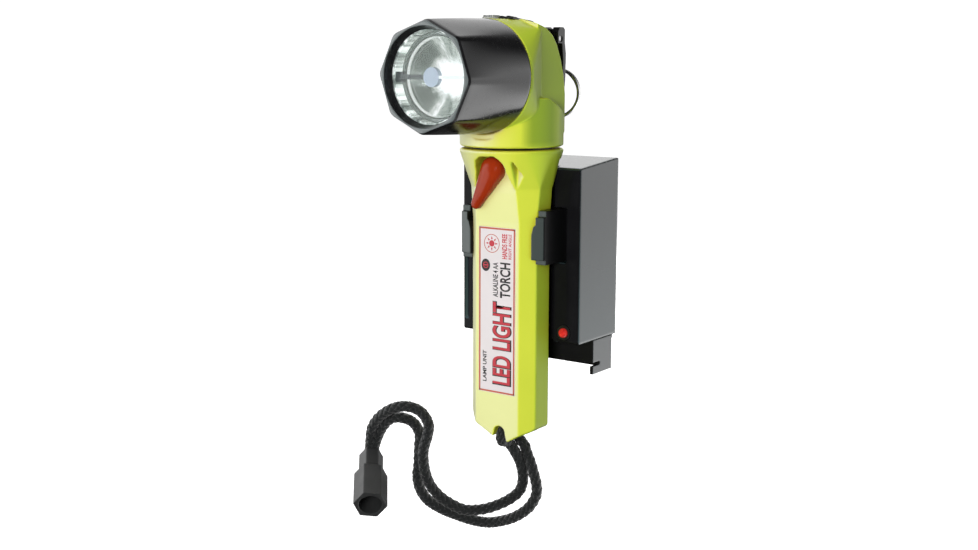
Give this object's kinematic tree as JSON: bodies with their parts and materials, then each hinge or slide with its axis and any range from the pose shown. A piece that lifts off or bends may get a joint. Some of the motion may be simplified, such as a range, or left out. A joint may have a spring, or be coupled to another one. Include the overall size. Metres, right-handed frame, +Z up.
{
  "type": "firefighter flashlight",
  "caption": "Right angle firefighter light with a lever switch, bright bowl and lanyard, held by sprung arms in its wall charger.",
  "frame": {"origin": "centre of the four wall screw holes, on the wall face of the charger bracket", "axes": "+Z up along the handle, +Y into the wall, beam toward -Y, +X to the right seen from the front"},
  "size_m": [0.1021, 0.1143, 0.2599],
  "materials": {
    "yellow_shell": "satin moulded lime yellow",
    "black_gloss": "polished black moulding",
    "black_satin": "fine textured black moulding",
    "red_lever": "satin red orange moulding",
    "label_film": "printed film",
    "clear_lens": "clear",
    "mirror_bowl": "vacuum metallised",
    "emitter": "bright phosphor dome",
    "bridge_metal": "anodised grey",
    "alloy": "turned",
    "seal_rubber": "matt",
    "steel": "brushed",
    "bright_steel": "polished",
    "contact_brass": "plain",
    "board_green": "solder mask",
    "component_black": "moulded",
    "lead_red": "insulation",
    "cell_wrap": "plain wrapped metal",
    "cord_black": "braided",
    "indicator_red": "tinted dome"
  },
  "bodies": {
    "charger": {"charger_housing": "black_gloss", "charger_cover": "black_satin", "cover_screws": "steel", "mounting_bracket": "black_gloss", "bracket_fixing_screws": "steel", "arm_pins": "steel", "arm_springs": "bright_steel", "pin_springs": "bright_steel", "pin_block": "black_satin", "charger_board": "board_green", "board_components": "component_black", "indicator_led": "indicator_red", "led_bezel": "black_satin", "led_leads": "bright_steel", "power_jack": "black_satin"},
    "left_arm": {"arm_left": "black_satin"},
    "right_arm": {"arm_right": "black_satin"},
    "contact_pins": {"charge_pins": "contact_brass"},
    "handle": {"handle_body": "yellow_shell", "label": "label_film", "switch_seal": "seal_rubber", "switch_detent_spring": "bright_steel", "switch_contacts": "contact_brass", "battery_cassette": "black_satin", "cells": "cell_wrap", "cell_springs": "bright_steel", "cell_plates": "contact_brass", "contact_strips": "contact_brass", "charge_contacts": "contact_brass", "lanyard_pin": "steel"},
    "lever": {"switch_lever": "red_lever", "switch_shaft": "steel", "switch_rotor": "component_black"},
    "head": {"head_housing": "yellow_shell", "neck_coupling_ring": "black_satin", "neck_seal": "seal_rubber", "head_contacts": "board_green", "shroud_seal": "seal_rubber", "lens": "clear_lens", "led_bridge": "bridge_metal", "led_emitter": "emitter", "reflector": "mirror_bowl", "lamp_body": "alloy", "driver_board": "board_green", "lamp_leads": "lead_red", "vent_plug": "black_satin", "clip_bracket": "black_gloss", "clip_screws": "steel", "clip_pin": "steel", "clip_spring": "bright_steel"},
    "shroud": {"shroud": "black_gloss", "lens_seal": "seal_rubber"},
    "clip": {"belt_clip": "black_gloss"},
    "ring": {"split_ring": "steel"},
    "lanyard": {"lanyard_cord": "cord_black", "lanyard_toggle": "black_satin"}
  },
  "joints": [
    {"name": "light_lift", "type": "slide", "parent": "charger", "child": "handle", "axis": [0, 0, 1], "range_m": [0, 0.12]},
    {"name": "left_arm_open", "type": "hinge", "parent": "charger", "child": "left_arm", "pos_m": [-0.027, -0.0265, 0], "axis": [0, 0, -1], "range_deg": [0, 7], "stiffness_Nm_per_rad": 0.5},
    {"name": "right_arm_open", "type": "hinge", "parent": "charger", "child": "right_arm", "pos_m": [0.027, -0.0265, 0], "axis": [0, 0, 1], "range_deg": [0, 7], "stiffness_Nm_per_rad": 0.5},
    {"name": "contact_pin_press", "type": "slide", "parent": "charger", "child": "contact_pins", "axis": [0, 1, 0], "range_m": [0, 0.0011], "stiffness_N_per_m": 400, "deforming": ["pin_springs"]},
    {"name": "switch_turn", "type": "hinge", "parent": "handle", "child": "lever", "pos_m": [0, -0.0445, 0.0429], "axis": [0, -1, 0], "range_deg": [0, 62]},
    {"name": "head_turn", "type": "hinge", "parent": "handle", "child": "head", "pos_m": [0, -0.0445, 0.0527], "axis": [0, 0, 1], "range_deg": [0, 60]},
    {"name": "shroud_turn", "type": "hinge", "parent": "head", "child": "shroud", "pos_m": [0, -0.0445, 0.0876], "axis": [0, 1, 0], "continuous": true},
    {"name": "belt_clip_open", "type": "hinge", "parent": "head", "child": "clip", "pos_m": [0, -0.0209, 0.1056], "axis": [1, 0, 0], "range_deg": [0, 12], "stiffness_Nm_per_rad": 0.6},
    {"name": "split_ring_swing", "type": "hinge", "parent": "clip", "child": "ring", "pos_m": [0.004, -0.0109, 0.0913], "axis": [0.9659, 0.2588, 0], "range_deg": [0, 14]},
    {"name": "lanyard_swing", "type": "hinge", "parent": "handle", "child": "lanyard", "pos_m": [0.0015, -0.0445, -0.0904], "axis": [1, 0, 0], "range_deg": [-10, 6]}
  ]
}
